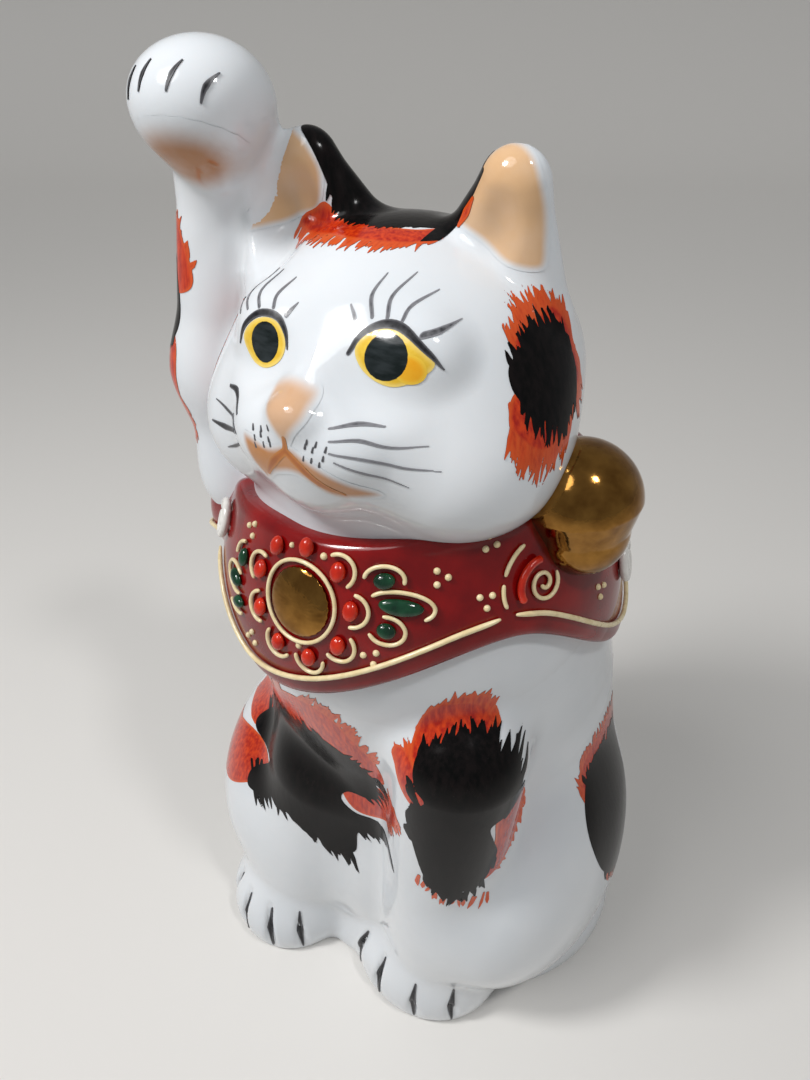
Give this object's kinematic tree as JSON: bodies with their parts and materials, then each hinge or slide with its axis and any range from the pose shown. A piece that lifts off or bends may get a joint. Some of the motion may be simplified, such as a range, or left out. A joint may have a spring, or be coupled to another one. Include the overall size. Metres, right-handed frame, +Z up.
{
  "type": "beckoning cat figurine",
  "caption": "Seated glazed porcelain cat with one paw raised beside the ear, wearing a red bib with raised enamel work, a gold disc and a side bell.",
  "frame": {"origin": "on the table under the neck, in the flat face the cat stands on", "axes": "+Z up, the cat looks along -Y, its left side is +X"},
  "size_m": [0.1228, 0.1193, 0.2406],
  "materials": {
    "porcelain": "glossy clear glaze over white porcelain, hand-painted",
    "bib_red": "glossy deep red overglaze enamel",
    "gold_lustre": "mirror-bright gold lustre fired on glaze",
    "red_enamel": "glossy raised red enamel",
    "green_enamel": "glossy raised green enamel",
    "cream_slip": "satin trailed cream slip"
  },
  "bodies": {
    "root": {"body_shell": "porcelain", "head_shell": "porcelain", "raised_arm": "porcelain", "bib": "bib_red", "bell": "gold_lustre", "knot_leaf": "green_enamel", "medallion": "gold_lustre", "medallion_ring": "cream_slip", "red_bead_1": "red_enamel", "red_bead_2": "red_enamel", "red_bead_3": "red_enamel", "red_bead_4": "red_enamel", "red_bead_5": "red_enamel", "red_bead_6": "red_enamel", "red_bead_7": "red_enamel", "red_bead_8": "red_enamel", "red_bead_9": "red_enamel", "bead_scallop_3": "cream_slip", "bead_scallop_4": "cream_slip", "bead_scallop_5": "cream_slip", "bead_scallop_6": "cream_slip", "bead_scallop_7": "cream_slip", "bead_scallop_8": "cream_slip", "bead_scallop_9": "cream_slip", "leaf_left_upper": "green_enamel", "leaf_line_left_upper": "cream_slip", "leaf_left_middle": "green_enamel", "leaf_line_left_middle": "cream_slip", "leaf_left_lower": "green_enamel", "leaf_line_left_lower": "cream_slip", "leaf_right_upper": "green_enamel", "leaf_line_right_upper": "cream_slip", "leaf_right_middle": "green_enamel", "leaf_line_right_middle": "cream_slip", "leaf_right_lower": "green_enamel", "leaf_line_right_lower": "cream_slip", "hem_line_front": "cream_slip", "hem_line_left": "cream_slip", "hem_line_back": "cream_slip", "hem_line_right": "cream_slip", "swirl_red": "red_enamel", "swirl_spiral": "cream_slip", "swirl_arc_upper": "cream_slip", "swirl_arc_lower": "cream_slip", "rosette_left": "cream_slip", "rosette_right": "cream_slip"}
  },
  "joints": []
}
